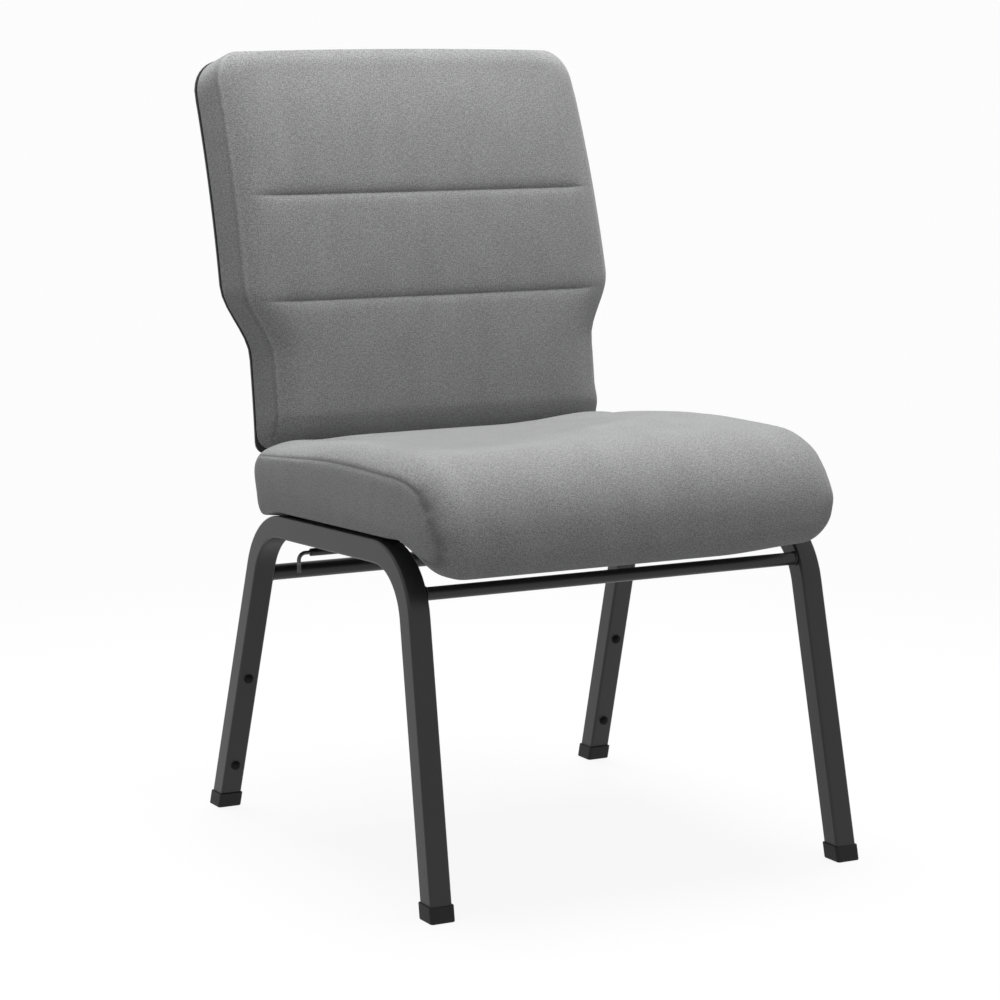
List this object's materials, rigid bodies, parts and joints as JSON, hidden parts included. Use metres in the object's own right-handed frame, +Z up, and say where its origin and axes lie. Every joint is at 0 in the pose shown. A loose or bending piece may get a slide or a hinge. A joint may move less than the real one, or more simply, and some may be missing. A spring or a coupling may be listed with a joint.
{
  "type": "conference chair",
  "caption": "Armless upholstered stacking conference chair: bent square-tube side frames, waterfall seat, curved padded back with waisted sides and a slide-out ganging hook.",
  "frame": {"origin": "on the floor, at the middle of the chair's bounding box", "axes": "+Z up; the sitter faces -Y; +X is the sitter's left"},
  "size_m": [0.5234, 0.6354, 0.8673],
  "materials": {
    "frame": "black powder coat",
    "foot_cap": "moulded",
    "bumper": "moulded",
    "fabric": "grey woven",
    "foam": "open cell",
    "plywood": "raw",
    "lining": "black non-woven",
    "shell": "fine grain",
    "wire": "dark plated",
    "screw": "zinc plated"
  },
  "bodies": {
    "chair": {"back_board": "plywood", "back_cover": "fabric", "back_foam": "foam", "back_screw_1": "screw", "back_screw_2": "screw", "back_screw_3": "screw", "back_screw_4": "screw", "back_shell": "shell", "back_tie_lower": "frame", "back_tie_upper": "frame", "back_upright_left": "frame", "back_upright_right": "frame", "foot_cap_front_left": "foot_cap", "foot_cap_front_right": "foot_cap", "foot_cap_rear_left": "foot_cap", "foot_cap_rear_right": "foot_cap", "front_crossbar": "frame", "ganging_catch": "frame", "ganging_guide": "frame", "rear_crossbar": "frame", "seat_board": "plywood", "seat_cover": "fabric", "seat_dust_cover": "lining", "seat_foam": "foam", "seat_screw_1": "screw", "seat_screw_2": "screw", "seat_screw_3": "screw", "seat_screw_4": "screw", "seat_strap_front": "frame", "seat_strap_middle": "frame", "seat_strap_rear": "frame", "shell_screw_1": "screw", "shell_screw_2": "screw", "shell_screw_3": "screw", "shell_screw_4": "screw", "side_frame_left": "frame", "side_frame_right": "frame", "stack_bumper_lower_left": "bumper", "stack_bumper_lower_right": "bumper", "stack_bumper_upper_left": "bumper", "stack_bumper_upper_right": "bumper"},
    "hook": {"ganging_hook": "wire"}
  },
  "joints": [
    {"name": "hook_slide", "type": "slide", "parent": "chair", "child": "hook", "axis": [-1, 0, 0], "range_m": [0, 0.075]}
  ]
}
